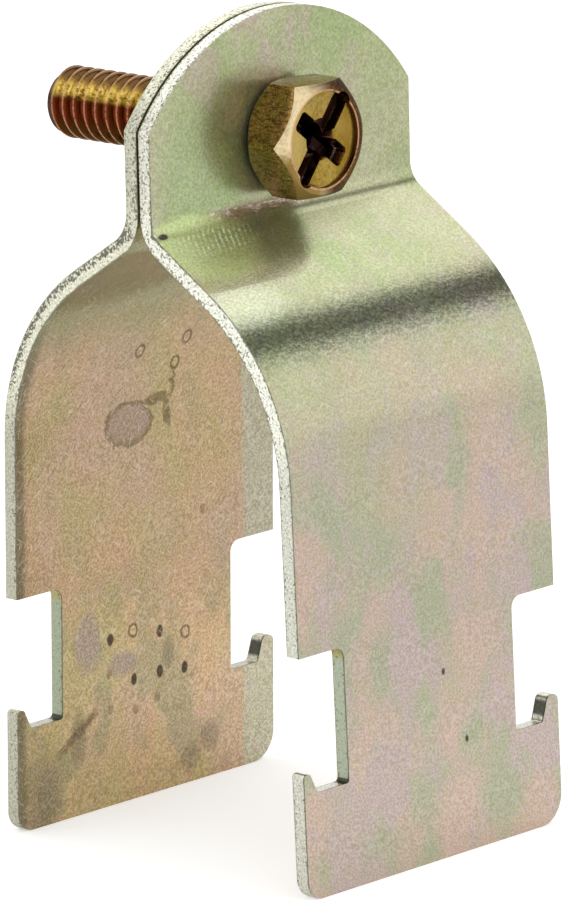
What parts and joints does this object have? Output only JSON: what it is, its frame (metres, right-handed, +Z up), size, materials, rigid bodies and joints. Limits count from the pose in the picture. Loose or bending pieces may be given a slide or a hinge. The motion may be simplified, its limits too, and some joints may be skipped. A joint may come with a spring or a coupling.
{
  "type": "strut pipe clamp",
  "caption": "Folded sheet-metal pipe clamp for strut channel: hooked straps drawn together over a tube by a hex-head screw and square nut.",
  "frame": {"origin": "in the plane where the two ears meet, at the height of the clamped tube's axis, midway across the straps", "axes": "+X along the clamped tube, +Y along the screw from its head to its tip, +Z up from the feet to the ears"},
  "size_m": [0.0318, 0.041, 0.0709],
  "materials": {
    "yellow_zinc_sheet": "iridescent yellow zinc plate, pale green and pink, satin",
    "bronze_screw": "dark golden brown zinc plate, satin",
    "bronze_nut": "golden brown zinc plate, satin"
  },
  "bodies": {
    "front_half": {"front_strap": "yellow_zinc_sheet"},
    "screw": {"clamp_screw": "bronze_screw"},
    "rear_half": {"rear_strap": "yellow_zinc_sheet", "square_nut": "bronze_nut"}
  },
  "joints": [
    {"name": "screw_turn", "type": "hinge", "parent": "front_half", "child": "screw", "pos_m": [0, 0, 0.02616], "axis": [0, -1, 0], "range_deg": [0, 4591]},
    {"name": "rear_half_travel", "type": "slide", "parent": "front_half", "child": "rear_half", "axis": [0, 1, 0], "range_m": [0, 0.01619]}
  ],
  "couplings": [
    {"joint": "screw_turn", "follows": "rear_half_travel", "rad_per_m": 4947.4}
  ]
}
